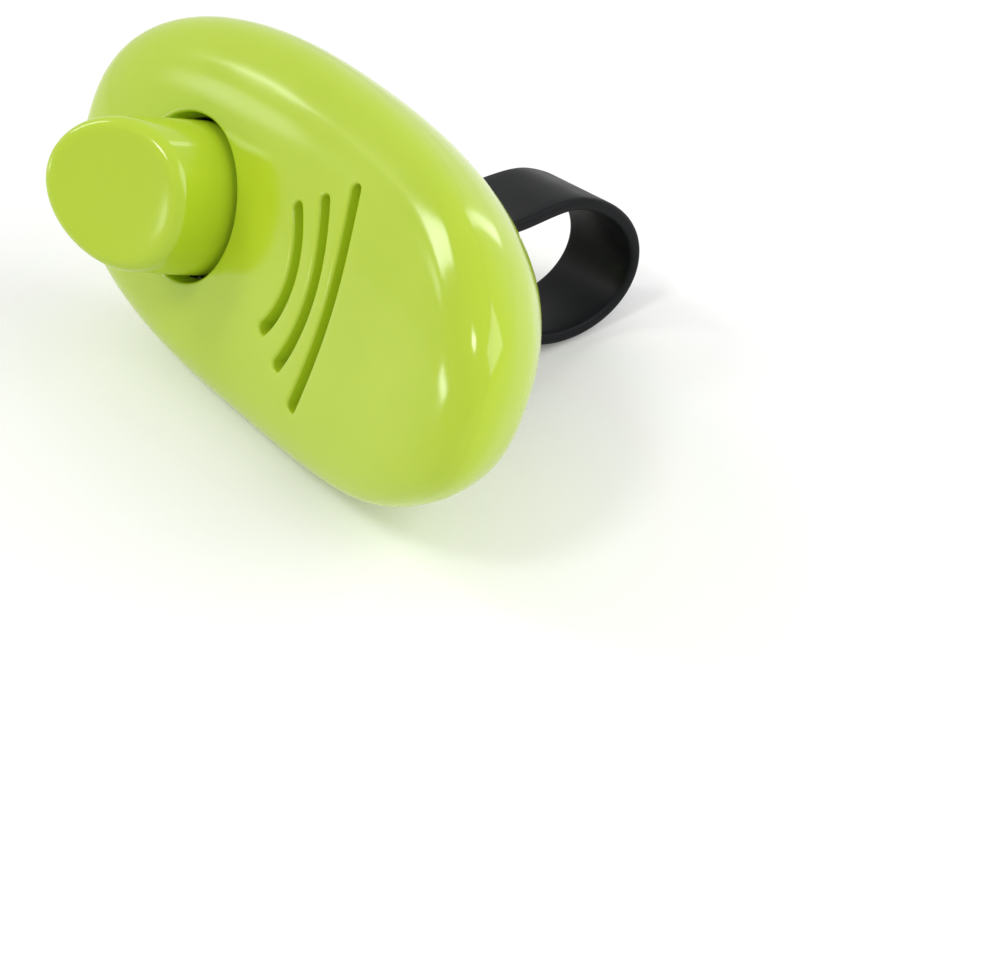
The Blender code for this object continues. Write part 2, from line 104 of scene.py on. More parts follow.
def ovalPoints(turns, halfX, halfY, power):
    c, s = np.cos(turns), np.sin(turns)
    x = halfX * np.sign(c) * np.abs(c) ** (2 / power)
    y = halfY * np.sign(s) * np.abs(s) ** (2 / power)
    return x, y


def taperAt(x):
    return 1 - housing["outlineTaper"] * x / (housing["length"] / 2)


def outlinePoints(inset, share=1.0):
    halfX = share * (housing["length"] / 2 - inset)
    halfY = share * (housing["width"] / 2 - inset)
    x, y = ovalPoints(aroundTurns, halfX, halfY, housing["outlinePower"])
    return x, y * taperAt(x)


def outlineShare(x, y, inset=0.0):
    along = np.abs(x) / (housing["length"] / 2 - inset)
    across = np.abs(y) / (housing["width"] / 2 - inset) / taperAt(x)
    power = housing["outlinePower"]
    return (along**power + across**power) ** (1 / power)


def domeAt(share, power):
    return np.maximum(0.0, 1 - share**power) ** (1 / power)


def seamLevel(x):
    return housing["seamSlope"] * x + x**2 / (2 * housing["seamBendRadius"])


def frontLevel(x, y, depth=0.0):
    inset = depth * housing["wall"]
    rise = housing["frontRise"] - housing["frontFall"] * x - inset
    return seamLevel(x) + rise * domeAt(outlineShare(x, y, inset), housing["frontPower"])


def backLevel(x, y):
    fall = housing["backRise"] + housing["backGrowth"] * x
    return seamLevel(x) - fall * domeAt(outlineShare(x, y), housing["backPower"])


def floorLevel(x):
    bend = np.maximum(0.0, dish["bendStart"] - x)
    return bend**2 / (2 * dish["bendRadius"]) - dish["floorDepth"]


def dishShare(x, y):
    along = np.abs(x - dishMiddle) / dishHalfLength
    across = np.abs(y) / dish["halfWidth"]
    return (along ** dish["power"] + across ** dish["power"]) ** (1 / dish["power"])


def dishLevel(x, y, depth=0.0):
    share = np.maximum(dishShare(x, y), 1e-6)  # never nought, since it divides
    rimLevel = backLevel(dishMiddle + (x - dishMiddle) / share, y / share) + depth * dish["rimCrest"]
    side = share ** dish["sidePower"]
    return side * rimLevel + (1 - side) * (floorLevel(x) + depth * housing["wall"])


button = {
    "x": -11.4,
    "radius": 6.4,
    "tipRadius": 6.2,
    "height": 7.35,  # middle of the tip above the front
    "tipSlope": 0.43,
    "tipCrown": 0.8,
    "tipDish": 0.6,
    "dishPower": 3,  # a higher one makes the dish's floor flatter
    "dishShoulder": 1.3,  # a higher one starts the dish more gently
    "edge": 0.7,
    "highEdge": 1.1,  # the same edge at the high side of the tip
    "wall": 1.4,
    "shoulder": 0.6,
    "lip": 0.2,  # small bevel at the foot of the skirt and of the stem
    "travel": 1.2,
    "slideGap": 0.6,
    "collarHeight": 1.9,
    "collarWall": 1.6,
    "earReach": 1.2,
    "earWidth": 5.0,
    "earThickness": 1.0,
    "earLap": 0.5,
    "earBevel": 0.15,
    "stemRadius": 1.6,
    "sides": 144,
    "skirtSteps": 4,
    "sideSteps": 11,
    "edgeSteps": 9,
    "tipSteps": 17,
}
leaf = {"lever": 9.5, "thickness": 0.35, "clear": 0.5, "dimple": 0.5, "rootPlay": 0.4}
pieceGap = 0.3  # left between pieces that touch in the real object
faceLevel = float(frontLevel(button["x"], 0.0))
collarBottom = faceLevel - button["collarHeight"]
earTop = collarBottom - pieceGap
skirtBottom = earTop - button["earLap"]
leafTop = skirtBottom - button["travel"] - leaf["clear"]
boreRadius = button["radius"] + button["slideGap"]

# the press direction and the leaf's hinge place the housing's axes in the frame
joints = {joint["name"]: joint for joint in frame["joints"]}
outOfFront = -Vector(joints["button_press"]["axis"]).normalized()
toTail = Vector((1.0, 0.0, 0.0))
housingAxes = Matrix((toTail, outOfFront.cross(toTail), outOfFront)).transposed()
hingeSpot = Vector((button["x"], -leaf["lever"], leafTop - leaf["thickness"] / 2)) * mm
housingOrigin = Vector(joints["leaf_flex"]["pos_m"]) - housingAxes @ hingeSpot
housingToFrame = Matrix.Translation(housingOrigin) @ housingAxes.to_4x4() @ Matrix.Scale(mm, 4)


# mesh tools

def newSkin():
    return {"points": [], "faces": []}


def stack(x, y, z):
    return np.stack(np.broadcast_arrays(np.asarray(x, float), y, z), axis=-1)


def addRows(skin, rows, closed=False):
    count = len(rows[0])
    start = len(skin["points"])
    for row in rows:
        skin["points"].extend(map(tuple, row))
    pairs = [(k, k + 1) for k in range(len(rows) - 1)]
    if closed:
        pairs.append((len(rows) - 1, 0))
    for near, far in pairs:
        a, b = start + near * count, start + far * count
        for i in range(count):
            j = (i + 1) % count
            skin["faces"].append((a + i, a + j, b + j, b + i))


def insideLoop(x, y, loop):
    px, py = loop[:, 0], loop[:, 1]
    qx, qy = np.roll(px, -1), np.roll(py, -1)
    crosses = (py[None] > y[:, None]) != (qy[None] > y[:, None])
    run = np.where(qy == py, 1e-12, qy - py)  # a level edge is never crossed
    where = px[None] + (y[:, None] - py[None]) * (qx - px)[None] / run[None]
    return (crosses & (x[:, None] < where)).sum(axis=1) % 2 == 1


patch = {
    "insideCoarser": 1.6,  # grid inside a shell against the grid outside
    "edgeRoom": 0.6,  # share of the spacing that a point keeps from every edge
    "edgeShares": (0, 0.25, 0.5, 0.75),  # where along each edge that is measured
    "weld": 1e-7,
}


def addPatch(skin, boundary, holes, spacing, level):
    # even triangles between a boundary and its holes, lifted onto a surface
    low, high = boundary.min(axis=0), boundary.max(axis=0)
    rowStep = spacing * math.sqrt(3) / 2
    spots = []
    for row in range(int((high[1] - low[1]) / rowStep) + 1):
        xs = np.arange(low[0] + (row % 2) * spacing / 2, high[0], spacing)
        spots.append(np.stack([xs, np.full_like(xs, low[1] + row * rowStep)], axis=1))
    spots = np.concatenate(spots)
    loops = [boundary, *holes]
    near = []
    for loop in loops:
        ahead = np.roll(loop, -1, axis=0) - loop
        near += [loop + share * ahead for share in patch["edgeShares"]]
    near = np.concatenate(near)
    room = np.array([np.min(np.sum((near - spot) ** 2, axis=1)) for spot in spots])
    keep = insideLoop(spots[:, 0], spots[:, 1], boundary) & (room > (patch["edgeRoom"] * spacing) ** 2)
    for hole in holes:
        keep &= ~insideLoop(spots[:, 0], spots[:, 1], hole)
    points = np.concatenate([*loops, spots[keep]])
    edges, first = [], 0
    for loop in loops:
        edges += [(first + i, first + (i + 1) % len(loop)) for i in range(len(loop))]
        first += len(loop)
    coords, _, faces = delaunay_2d_cdt([Vector(p) for p in points], edges, [], 1, patch["weld"])[:3]
    flat = np.array([tuple(c) for c in coords])
    middles = np.array([flat[list(face)].mean(axis=0) for face in faces])
    solid = np.ones(len(faces), bool)
    for hole in holes:
        solid &= ~insideLoop(middles[:, 0], middles[:, 1], hole)
    start = len(skin["points"])
    skin["points"].extend(map(tuple, stack(flat[:, 0], flat[:, 1], level(flat[:, 0], flat[:, 1]))))
    skin["faces"].extend(tuple(start + i for i in face) for face, ok in zip(faces, solid) if ok)


def edgeRows(outline, radius, level, inward, steps=5):
    # a rounded edge round a hole: from the surface over into the hole
    rows = []
    for step in range(steps + 1):
        bend = math.pi / 2 * step / steps
        loop = outline(radius * (1 - math.sin(bend)))
        sink = radius * (1 - math.cos(bend))
        rows.append(stack(loop[:, 0], loop[:, 1], level(loop[:, 0], loop[:, 1]) + inward * sink))
    return rows


def ringLoop(x, y, radius, sides):
    spread = 2 * math.pi * np.arange(sides) / sides
    return np.stack([x + radius * np.cos(spread), y + radius * np.sin(spread)], axis=1)


meshing = {
    "weld": 0.0005,  # points nearer than this are joined
    "sharpFrom": 40.0,  # degrees from which an edge stays crisp
}


def makePiece(name, skin, finish, body, slotName, *nodes):
    mesh = bpy.data.meshes.new(name)
    mesh.from_pydata(skin["points"], [], skin["faces"])
    bm = bmesh.new()
    bm.from_mesh(mesh)
    bmesh.ops.remove_doubles(bm, verts=bm.verts, dist=meshing["weld"])
    bmesh.ops.recalc_face_normals(bm, faces=bm.faces)
    openEdges = sum(1 for edge in bm.edges if len(edge.link_faces) != 2)
    bm.to_mesh(mesh)
    bm.free()
    mesh.transform(housingToFrame)
    mesh.shade_smooth()
    mesh.set_sharp_from_angle(angle=math.radians(meshing["sharpFrom"]))
    mesh.materials.append(finish)
    piece = bpy.data.objects.new(name, mesh)
    bpy.context.scene.collection.objects.link(piece)
    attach(piece, body)
    if nodes:
        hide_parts(*nodes)
    print(name, len(mesh.polygons), "faces,", openEdges, "open edges")


# finishes

noiseSpan = (0.3, 0.7)  # part of a noise over which a tint or a sheen changes


def newFinish(name):
    finish = bpy.data.materials.new(name)
    finish.use_nodes = True
    tree = finish.node_tree
    return finish, tree, tree.nodes["Principled BSDF"]


def noiseNode(tree, scale, detail, stretch=(1.0, 1.0, 1.0), turn=0.0):
    coords = tree.nodes.new("ShaderNodeTexCoord")
    mapping = tree.nodes.new("ShaderNodeMapping")
    mapping.inputs["Rotation"].default_value = (turn, 0.0, 0.0)
    mapping.inputs["Scale"].default_value = stretch
    noise = tree.nodes.new("ShaderNodeTexNoise")
    noise.inputs["Scale"].default_value = scale
    noise.inputs["Detail"].default_value = detail
    tree.links.new(coords.outputs["Object"], mapping.inputs["Vector"])
    tree.links.new(mapping.outputs["Vector"], noise.inputs["Vector"])
    return noise.outputs["Fac"]


def tintBetween(tree, fac, first, second, socket):
    ramp = tree.nodes.new("ShaderNodeValToRGB")
    for stop, place, colour in zip(ramp.color_ramp.elements, noiseSpan, (first, second)):
        stop.position = place
        stop.color = (*colour, 1.0)
    tree.links.new(fac, ramp.inputs["Fac"])
    tree.links.new(ramp.outputs["Color"], socket)


def spanBetween(tree, fac, low, high, socket):
    span = tree.nodes.new("ShaderNodeMapRange")
    span.inputs["From Min"].default_value = noiseSpan[0]
    span.inputs["From Max"].default_value = noiseSpan[1]
    span.inputs["To Min"].default_value = low
    span.inputs["To Max"].default_value = high
    tree.links.new(fac, span.inputs["Value"])
    tree.links.new(span.outputs["Result"], socket)


def grainOn(tree, fac, strength, distance, shader):
    bump = tree.nodes.new("ShaderNodeBump")
    bump.inputs["Strength"].default_value = strength
    bump.inputs["Distance"].default_value = distance
    tree.links.new(fac, bump.inputs["Height"])
    tree.links.new(bump.outputs["Normal"], shader.inputs["Normal"])


def mottledFinish(name, look):
    finish, tree, shader = newFinish(name)
    mottle = noiseNode(tree, look["mottle"], look["mottleDetail"])
    grain = noiseNode(tree, look["grain"], look["grainDetail"])
    tintBetween(tree, mottle, look["deep"], look["light"], shader.inputs["Base Color"])
    spanBetween(tree, mottle, *look["sheen"], shader.inputs["Roughness"])
    grainOn(tree, grain, look["grainStrength"], look["grainDepth"], shader)
    return finish, shader


limeGloss = {
    "light": (0.47, 0.63, 0.024),
    "deep": (0.445, 0.602, 0.018),
    "mottle": 90.0,
    "mottleDetail": 3.0,
    "sheen": (0.11, 0.17),
    "ior": 1.5,
    "depth": 0.1,  # share of the light that goes into the plastic
    "depthReach": (0.5, 0.9, 0.15),  # how far each colour goes
    "grain": 2600.0,
    "grainDetail": 2.0,
    "grainStrength": 0.05,
    "grainDepth": 0.00003,
}


def limePlastic(name):
    finish, shader = mottledFinish(name, limeGloss)
    shader.inputs["IOR"].default_value = limeGloss["ior"]
    shader.inputs["Subsurface Weight"].default_value = limeGloss["depth"]
    shader.inputs["Subsurface Radius"].default_value = limeGloss["depthReach"]
    shader.inputs["Subsurface Scale"].default_value = mm
    return finish


blackBand = {
    "light": (0.0085, 0.009, 0.0105),
    "deep": (0.004, 0.0045, 0.0052),
    "mottle": 240.0,
    "mottleDetail": 4.0,
    "sheen": (0.38, 0.52),
    "specular": 0.1,
    "grain": 5200.0,
    "grainDetail": 3.0,
    "grainStrength": 0.18,
    "grainDepth": 0.00004,
}


def bandRubber(name):
    finish, shader = mottledFinish(name, blackBand)
    shader.inputs["Specular IOR Level"].default_value = blackBand["specular"]
    return finish


brushing = {
    "lines": 900.0,
    "lineDetail": 6.0,
    "stretch": (1.0, 0.06, 1.0),  # draws the lines out along y
    "deepShare": 0.86,  # the colour between the lines against the colour on them
    "lineStrength": 0.15,
    "lineDepth": 0.00001,
}


def brushedSteel(name, colour, sheen, turn):
    finish, tree, shader = newFinish(name)
    lines = noiseNode(tree, brushing["lines"], brushing["lineDetail"], brushing["stretch"], turn)
    deep = tuple(brushing["deepShare"] * c for c in colour)
    tintBetween(tree, lines, deep, colour, shader.inputs["Base Color"])
    spanBetween(tree, lines, *sheen, shader.inputs["Roughness"])
    grainOn(tree, lines, brushing["lineStrength"], brushing["lineDepth"], shader)
    shader.inputs["Metallic"].default_value = 1.0
    return finish


# front shell: bore, collar and curved sound slots

frontShell = {
    "rings": 44,
    "ringStop": 21,  # rings up to here, then the patch with the holes
    "grid": 0.75,
    "boreEdge": 0.35,
    "boreDraft": 0.36,  # the bore narrows towards its foot
    "slotEdge": 0.3,
    "slotDraft": 0.3,  # so do the slots
    "slotWidth": 1.1,
    "slots": ((4.7, 5.1, 1.8), (7.8, 6.9, 2.0), (10.5, 9.0, 1.7)),  # middle, half length, bow
    "slotSteps": 36,
    "capSteps": 12,
}


def frontRow(k, depth):
    share = math.cos(math.pi / 2 * k / frontShell["rings"]) ** (2 / housing["frontPower"])
    x, y = outlinePoints(depth * housing["wall"], share)
    lowest = seamLevel(x) + housing["seamHalfGap"]
    return stack(x, y, np.maximum(lowest, frontLevel(x, y, depth)) if k else lowest)


rim = {
    "sideRound": 0.5,  # how far the shoulder is rounded at the sides
    "tailRound": 2.2,  # and at the tail
    "tailFrom": 0.45,  # cosine of the turn at which the tail's rounding starts
    "tailGrowth": 0.5,  # and how much further on it is full
    "stretchFrom": 24.0,  # past here the tail is drawn out to its full length again
    "tailShy": 0.05,  # but for this
    "seamStrip": 0.03,  # fine strip along the parting line, so that the light runs on across it
}


def softenRim(front, back):
    # rounds the shoulder where the front turns into the flank
    seam = len(front) - 1
    grid = np.array(front[:0:-1] + [(front[0] + back[0]) / 2] + back[1:])
    run = np.linalg.norm(np.diff(grid, axis=0), axis=2)
    along = np.concatenate([np.zeros((1, grid.shape[1])), np.cumsum(run, axis=0)])
    away = np.abs(along - along[seam])
    tail = ease(0.0, 1.0, (np.cos(aroundTurns) - rim["tailFrom"]) / rim["tailGrowth"])
    reach = rim["sideRound"] + (rim["tailRound"] - rim["sideRound"]) * tail
    apart = along[:, None] - along[None]
    pull = np.exp(-(apart**2) / (2 * reach**2)) * np.gradient(along, axis=0)[None]
    pull /= pull.sum(axis=1, keepdims=True)
    smooth = np.einsum("ijk,jkc->ikc", pull, grid)
    hold = ease(0.0, 1.0, 2 * away / along[seam] - 1)
    fullTail = grid[:, :, 0].max() - rim["tailShy"]
    grid = smooth + hold[:, :, None] * (grid - smooth)
    roundTail = grid[:, :, 0].max()
    atTail = (grid[:, :, 0] - rim["stretchFrom"]) / (roundTail - rim["stretchFrom"])
    grid[:, :, 0] += ease(0.0, fullTail - roundTail, atTail)
    first, middle, last = grid[seam - 1 : seam + 2]
    before = np.linalg.norm(first - middle, axis=1)[:, None]
    after = np.linalg.norm(last - middle, axis=1)[:, None]
    slope = ((last - middle) * before / after + (middle - first) * after / before) / (before + after)
    strip = rim["seamStrip"] * slope
    half = np.array([0.0, 0.0, housing["seamHalfGap"]])
    newFront = [middle + half, middle - strip + half, *grid[seam - 1 :: -1]]
    newBack = [middle - half, middle + strip - half, *grid[seam + 1 :]]
    return newFront, newBack


def slotOutline(middle, halfLength, bow):
    radius = (halfLength**2 + bow**2) / (2 * bow)
    centre = middle - radius
    end = math.asin(halfLength / radius)
    sweep = np.linspace(-end, end, frontShell["slotSteps"])

    def outline(grow):
        half = frontShell["slotWidth"] / 2 + grow

        def side(reach, angles):
            return np.stack([centre + reach * np.cos(angles), reach * np.sin(angles)], axis=1)

        def cap(angle, start):
            swing = start + math.pi * np.arange(1, frontShell["capSteps"]) / frontShell["capSteps"]
            return side(radius, np.array([angle])) + half * np.stack([np.cos(swing), np.sin(swing)], axis=1)

        outer = side(radius + half, sweep)
        inner = side(radius - half, sweep[::-1])
        return np.concatenate([outer, cap(end, end), inner, cap(-end, math.pi - end)])

    return outline


def boreOutline(grow):
    return ringLoop(button["x"], 0.0, boreRadius + grow, button["sides"])


def flatLevel(level):
    return lambda x, y: np.full_like(x, level)


def insideFront(x, y):
    return frontLevel(x, y, 1.0)


def loopAt(loop, level):
    return stack(loop[:, 0], loop[:, 1], level(loop[:, 0], loop[:, 1]))


def frontRows(depth):
    return [frontRow(k, depth) for k in range(frontShell["ringStop"] + 1)]


def buildFront(outer):
    skin = newSkin()
    inner = frontRows(1.0)
    addRows(skin, outer)
    addRows(skin, inner)
    addRows(skin, [outer[0], inner[0]])
    slots = [slotOutline(*slot) for slot in frontShell["slots"]]
    boreEdge, slotEdge = frontShell["boreEdge"], frontShell["slotEdge"]
    collarLoop = boreOutline(button["collarWall"])
    holes = [boreOutline(boreEdge)] + [slot(slotEdge) for slot in slots]
    addPatch(skin, outer[-1][:, :2], holes, frontShell["grid"], frontLevel)
    slotFeet = [slot(-frontShell["slotDraft"]) for slot in slots]
    coarse = patch["insideCoarser"] * frontShell["grid"]
    addPatch(skin, inner[-1][:, :2], [collarLoop, *slotFeet], coarse, insideFront)
    for slot, foot in zip(slots, slotFeet):
        addRows(skin, edgeRows(slot, slotEdge, frontLevel, -1) + [loopAt(foot, insideFront)])
    bottom = flatLevel(collarBottom)
    boreFoot = boreOutline(-frontShell["boreDraft"])
    collar = [loopAt(boreFoot, bottom), loopAt(collarLoop, bottom), loopAt(collarLoop, insideFront)]
    addRows(skin, edgeRows(boreOutline, boreEdge, frontLevel, -1) + collar)
    return skin


# back shell: rounded ridge, finger dish, and the tongue between its slots

backShell = {
    "flankRings": 36,
    "dishRings": 9,
    "dishStep": 0.015,
    "ridgeReach": 7,  # rings each side of the ridge that are rounded
    "ridgePasses": 22,
    "ridgePull": 0.5,
    "grid": 0.75,
    "gapEdge": 0.3,
    "gapCorner": 0.5,
    "gapCornerSteps": 5,
    "gapSpacing": 0.45,
    "tongueHalfWidth": 5.8,
    "tongueLip": 0.3,
    "slotClear": 0.3,
    "grooveWidth": 1.5,
}
strap = {
    "width": 9.4,
    "loopWidth": 8.2,
    "thickness": 1.2,
    "centre": 2.4,
    "play": 0.3,
    "waistHalfWidth": 4.6,
    "waistDrop": 9.5,
    "loopHalfWidth": 6.35,
    "loopDrop": 17.6,
    "loopReach": 9.0,
    "loopLean": 1.6,
    "skew": 0.06,  # the tail edge stands a little higher
    "corner": 0.42,
    "cornerSteps": 5,
    "faceSteps": 10,
    "rootSteps": 8,
    "bendSteps": 14,
    "runSteps": 44,
}
armHalfWidth = backShell["tongueHalfWidth"] + pieceGap + strap["thickness"] / 2
tongueEnd = strap["centre"] + strap["width"] / 2 + backShell["tongueLip"]
tongueInside = housing["wall"] - dish["floorDepth"]


def dishRim():
    return ovalPoints(aroundTurns, dishHalfLength, dish["halfWidth"], dish["power"])


def flankRow(k, depth):
    share = 1 - math.cos(math.pi / 2 * k / backShell["flankRings"])
    rimX, rimY = dishRim()
    rimX = rimX + dishMiddle
    outerX, outerY = outlinePoints(0.0)
    edgeX, edgeY = outlinePoints(depth * housing["wall"])
    x, y = edgeX + share * (rimX - edgeX), edgeY + share * (rimY - edgeY)
    outerX, outerY = outerX + share * (rimX - outerX), outerY + share * (rimY - outerY)
    drop = seamLevel(outerX) - backLevel(outerX, outerY)
    rimDrop = seamLevel(rimX) - backLevel(rimX, rimY)
    drop = drop * (1 - depth * dish["rimCrest"] / rimDrop)
    half = housing["seamHalfGap"]
    return stack(x, y, seamLevel(x) - (np.maximum(drop, half) if k else half))


def dishRow(share, depth):
    x, y = dishRim()
    x, y = dishMiddle + share * x, share * y
    return stack(x, y, dishLevel(x, y, depth))


def softenRidge(rows):
    grid = np.array(rows)
    away = np.abs(np.arange(len(grid)) - backShell["flankRings"])
    near = np.clip(1 - away / (backShell["ridgeReach"] + 1), 0, 1)
    weight = backShell["ridgePull"] * near[1:-1, None, None]
    for _ in range(backShell["ridgePasses"]):
        grid[1:-1] += weight * ((grid[:-2] + grid[2:]) / 2 - grid[1:-1])
    return list(grid)


def gapCorners():
    start = strap["centre"] - strap["width"] / 2 - strap["play"]
    end = tongueEnd + backShell["grooveWidth"]
    tongue = backShell["tongueHalfWidth"]
    wide = armHalfWidth + strap["thickness"] / 2 + backShell["slotClear"]
    upper = [(end, wide), (start, wide), (start, tongue), (tongueEnd, tongue)]
    return upper + [(x, -y) for x, y in reversed(upper)]


def gapOutline(grow):
    # the slots and the groove round the tongue, with rounded corners
    corners = [Vector(c) for c in gapCorners()]
    radius, steps = backShell["gapCorner"], backShell["gapCornerSteps"]
    arcs = []
    for i, corner in enumerate(corners):
        into = (corner - corners[i - 1]).normalized()
        onward = (corners[(i + 1) % len(corners)] - corner).normalized()
        first, second = Vector((into.y, -into.x)), Vector((onward.y, -onward.x))
        outside = 1 if into.cross(onward) > 0 else -1
        centre = corner - outside * radius * (first + second)
        arc = []
        for step in range(steps + 1):
            turn = math.pi / 2 * step / steps
            lean = math.cos(turn) * first + math.sin(turn) * second
            arc.append(centre + outside * (radius + outside * grow) * lean)
        arcs.append(arc)
    loop = []
    for i, arc in enumerate(arcs):
        run = (corners[(i + 1) % len(corners)] - corners[i]).length - 2 * radius
        count = max(1, int(run / backShell["gapSpacing"]))
        onward = arcs[(i + 1) % len(arcs)][0]
        loop += arc
        loop += [arc[-1].lerp(onward, step / count) for step in range(1, count)]
    return np.array([tuple(point) for point in loop])


def insideDish(x, y):
    return dishLevel(x, y, 1.0)


def backRows(depth):
    rows = [flankRow(k, depth) for k in range(backShell["flankRings"])]
    steps = backShell["dishRings"] + 1
    return rows + [dishRow(1 - backShell["dishStep"] * k, depth) for k in range(steps)]


def buildBack(outer):
    skin = newSkin()
    inner = backRows(1.0)
    addRows(skin, outer)
    addRows(skin, inner)
    addRows(skin, [outer[0], inner[0]])
    edge = backShell["gapEdge"]
    addPatch(skin, outer[-1][:, :2], [gapOutline(edge)], backShell["grid"], dishLevel)
    coarse = patch["insideCoarser"] * backShell["grid"]
    addPatch(skin, inner[-1][:, :2], [gapOutline(0.0)], coarse, insideDish)
    addRows(skin, edgeRows(gapOutline, edge, dishLevel, 1) + [loopAt(gapOutline(0.0), insideDish)])
    return skin


# button: tapered side, rounded rim and a slanted, slightly dished tip

def tipLevel(x, y):
    middle = faceLevel + button["height"]
    return middle - button["tipSlope"] * x - button["tipCrown"] * (y / button["radius"]) ** 2


def buttonRow(radius, level):
    x, y = ringLoop(0.0, 0.0, 1.0, button["sides"]).T * radius
    return stack(x + button["x"], y, level(x, y) if callable(level) else level)


def buildButton():
    radius, tip, wall, lip = (button[key] for key in ("radius", "tipRadius", "wall", "lip"))
    lowSide = (1 + ringLoop(0.0, 0.0, 1.0, button["sides"])[:, 0]) / 2
    edge = ease(button["highEdge"], button["edge"], lowSide)
    stemBottom = leafTop + leaf["dimple"] + pieceGap
    shoulder = faceLevel + button["shoulder"]

    def roof(x, y):
        return tipLevel(x, y) - button["tipDish"] - wall

    def sideLevel(share):
        return lambda x, y: shoulder + share * (tipLevel(x, y) - edge - shoulder)

    def sunkTip(sink):
        return lambda x, y: tipLevel(x, y) - sink

    rows = [
        buttonRow(0.0, stemBottom),
        buttonRow(button["stemRadius"] - lip, stemBottom),
        buttonRow(button["stemRadius"], stemBottom + lip),
        buttonRow(button["stemRadius"], roof),
        buttonRow(tip - wall, roof),
        buttonRow(radius - wall, skirtBottom),
        buttonRow(radius - lip, skirtBottom),
        buttonRow(radius, skirtBottom + lip),
    ]
    for share in np.linspace(0, 1, button["skirtSteps"] + 1)[1:]:
        rows.append(buttonRow(radius, skirtBottom + lip + share * (shoulder - skirtBottom - lip)))
    for share in np.linspace(0, 1, button["sideSteps"] + 1)[1:-1]:
        rows.append(buttonRow(radius + share * (tip - radius), sideLevel(share)))
    for bend in np.linspace(0, math.pi / 2, button["edgeSteps"] + 1):
        sink = edge * (1 - math.sin(bend))
        rows.append(buttonRow(tip - edge * (1 - math.cos(bend)), sunkTip(sink)))
    for share in np.linspace(1, 0, button["tipSteps"] + 1)[1:]:
        sink = button["tipDish"] * (1 - share ** button["dishPower"]) ** button["dishShoulder"]
        rows.append(buttonRow(share * (tip - edge), sunkTip(sink)))
    skin = newSkin()
    addRows(skin, rows)
    return skin


def bevelledBlock(skin, low, high, bevel):
    levels = ((low[2], bevel), (low[2] + bevel, 0.0), (high[2] - bevel, 0.0), (high[2], bevel))
    rows = []
    for z, inset in levels:
        x0, x1, y0, y1 = low[0] + inset, high[0] - inset, low[1] + inset, high[1] - inset
        loop = [(x0 + bevel, y0), (x1 - bevel, y0), (x1, y0 + bevel), (x1, y1 - bevel)]
        loop += [(x1 - bevel, y1), (x0 + bevel, y1), (x0, y1 - bevel), (x0, y0 + bevel)]
        rows.append(np.array([(x, y, z) for x, y in loop]))
    middle = rows[0].mean(axis=0) * (1, 1, 0)
    ends = [np.tile(middle + (0, 0, z), (len(rows[0]), 1)) for z in (low[2], high[2])]
    addRows(skin, [ends[0], *rows, ends[1]])


def buildEars():
    skin = newSkin()
    inside = button["radius"] - button["wall"] / 2
    reach = button["radius"] + button["earReach"]
    half = button["earWidth"] / 2
    for near, far in ((-reach, -inside), (inside, reach)):
        low = (button["x"] + near, -half, earTop - button["earThickness"])
        bevelledBlock(skin, low, (button["x"] + far, half, earTop), button["earBevel"])
    return skin


# strap: a flat elastic band under the tongue, drawn in to a waist and round the finger's loop

def strapPath():
    bend = pieceGap + strap["thickness"] / 2
    tongue, floor = backShell["tongueHalfWidth"], -dish["floorDepth"]
    waist, widest = floor - strap["waistDrop"], floor - strap["loopDrop"]
    steps = strap["rootSteps"]
    half = [(tongue * i / steps, tongueInside + bend) for i in range(steps)]
    for turn in np.linspace(math.pi / 2, 0, strap["bendSteps"]):
        half.append((tongue + bend * math.cos(turn), tongueInside + bend * math.sin(turn)))
    steps = strap["runSteps"]
    for low, high, start, end in (
        (floor, waist, armHalfWidth, strap["waistHalfWidth"]),
        (waist, widest, strap["waistHalfWidth"], strap["loopHalfWidth"]),
    ):
        half += [(ease(start, end, i / steps), low + (high - low) * i / steps) for i in range(steps)]
    for turn in np.linspace(0, math.pi / 2, steps):
        half.append((strap["loopHalfWidth"] * math.cos(turn), widest - strap["loopReach"] * math.sin(turn)))
    return np.array(half + [(-y, z) for y, z in half[-2:0:-1]], float)


def bandSection(width):
    corner, half = strap["corner"], strap["thickness"] / 2
    edge = width / 2 - corner
    spots = [(across, -half) for across in np.linspace(-edge, edge, strap["faceSteps"])]
    for start, middle in ((-math.pi / 2, (edge, corner - half)), (0.0, (edge, half - corner))):
        for turn in start + np.linspace(0, math.pi / 2, strap["cornerSteps"] + 1)[1:]:
            spots.append((middle[0] + corner * math.cos(turn), middle[1] + corner * math.sin(turn)))
    return np.array(spots + [(-a, -b) for a, b in spots])


def buildStrap():
    path = strapPath()
    floor = -dish["floorDepth"]
    ahead = np.roll(path, -1, axis=0) - np.roll(path, 1, axis=0)
    ahead /= np.linalg.norm(ahead, axis=1)[:, None]
    tailEdge = strap["centre"] + strap["width"] / 2
    rows = []
    for (y, z), (aheadY, aheadZ) in zip(path, ahead):
        grown = (floor - z) / strap["loopDrop"]
        width = ease(strap["width"], strap["loopWidth"], grown)
        across, out = bandSection(width).T
        x = tailEdge - width / 2 + across
        lean = ease(0.0, strap["loopLean"], grown) + ease(0.0, strap["skew"], grown) * (across + width / 2)
        rows.append(stack(x, y + aheadZ * out + lean, z - aheadY * out))
    skin = newSkin()
    addRows(skin, rows, closed=True)
    return skin


# what joins the two shells inside: pegs, their sockets, and the posts for the screws

